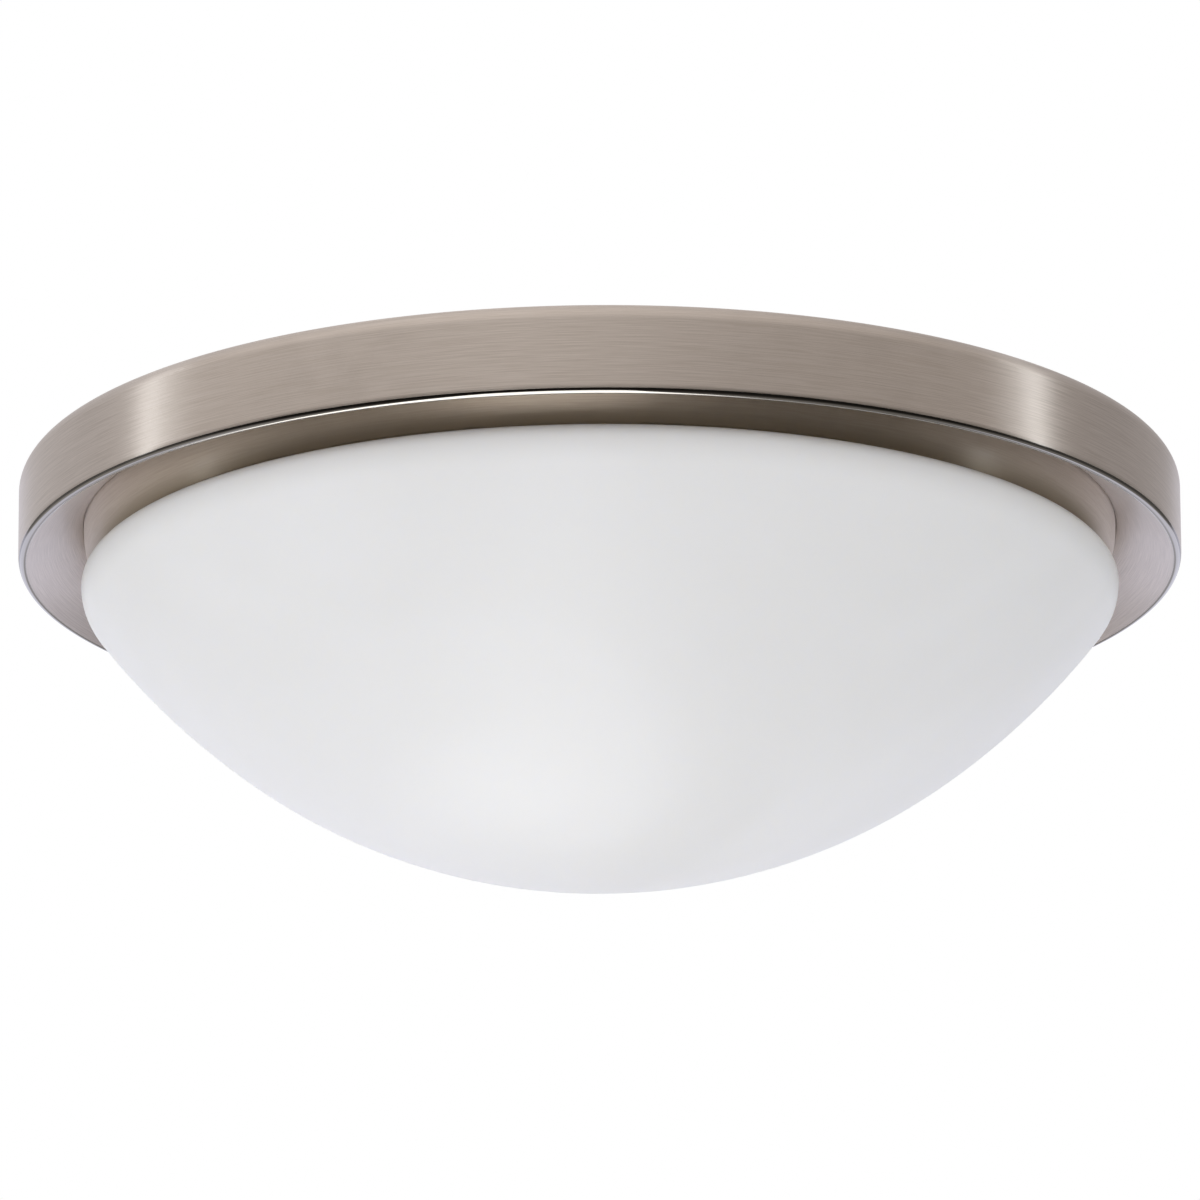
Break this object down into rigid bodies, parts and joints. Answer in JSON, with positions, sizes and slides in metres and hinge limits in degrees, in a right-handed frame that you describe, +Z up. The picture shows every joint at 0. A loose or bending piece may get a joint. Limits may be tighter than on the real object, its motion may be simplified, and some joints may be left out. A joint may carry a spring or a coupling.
{
  "type": "flush mount ceiling light",
  "caption": "Round flush mount ceiling light: brushed nickel ring and pan that screw to a ceiling box, with a shallow opal glass bowl that twists off for lamp changes.",
  "frame": {"origin": "on the light's axis, in the plane of the ceiling that the ring's top edge rests on", "axes": "+Z up into the ceiling, along the light's axis; the lamps lie along X; -Y is the side the picture sees"},
  "size_m": [0.33, 0.33, 0.1147],
  "materials": {
    "brushed_nickel": "brushed round the axis, clear lacquered",
    "glass_fibre": "pressed fibre mat",
    "nylon": "moulded",
    "green_screw": "green plated",
    "zinc_steel": "zinc plated steel",
    "opal_glass": "white opal, satin",
    "spring_steel": "rolled strip",
    "porcelain": "white glaze",
    "brass": "pressed",
    "frosted_glass": "frosted inside",
    "lamp_cap": "rolled thread",
    "black_insulator": "fused black"
  },
  "bodies": {
    "fixture": {"trim_ring": "brushed_nickel", "pan": "brushed_nickel", "insulation_pad": "glass_fibre", "wire_bushing": "nylon", "ground_screw": "green_screw", "side_rivets": "zinc_steel", "glass_spring_1": "spring_steel", "glass_spring_2": "spring_steel", "glass_spring_3": "spring_steel", "socket_bracket_left": "zinc_steel", "socket_bracket_right": "zinc_steel", "bracket_rivets": "zinc_steel", "socket_body_left": "porcelain", "socket_body_right": "porcelain", "socket_shell_left": "brass", "socket_shell_right": "brass", "socket_contact_left": "brass", "socket_contact_right": "brass", "socket_screws": "zinc_steel"},
    "glass": {"glass_dome": "opal_glass"},
    "lamp_left": {"lamp_left_bulb": "frosted_glass", "lamp_left_cap": "lamp_cap", "lamp_left_insulator": "black_insulator", "lamp_left_eyelet": "brass"},
    "lamp_right": {"lamp_right_bulb": "frosted_glass", "lamp_right_cap": "lamp_cap", "lamp_right_insulator": "black_insulator", "lamp_right_eyelet": "brass"}
  },
  "joints": [
    {"name": "glass_twist", "type": "hinge", "parent": "fixture", "child": "glass", "pos_m": [0, 0, -0.0272], "axis": [0, 0, -1], "range_deg": [0, 32]},
    {"name": "lamp_left_turn", "type": "hinge", "parent": "fixture", "child": "lamp_left", "pos_m": [0, -0.036, -0.045], "axis": [1, 0, 0], "continuous": true},
    {"name": "lamp_right_turn", "type": "hinge", "parent": "fixture", "child": "lamp_right", "pos_m": [0, 0.036, -0.045], "axis": [-1, 0, 0], "continuous": true}
  ]
}
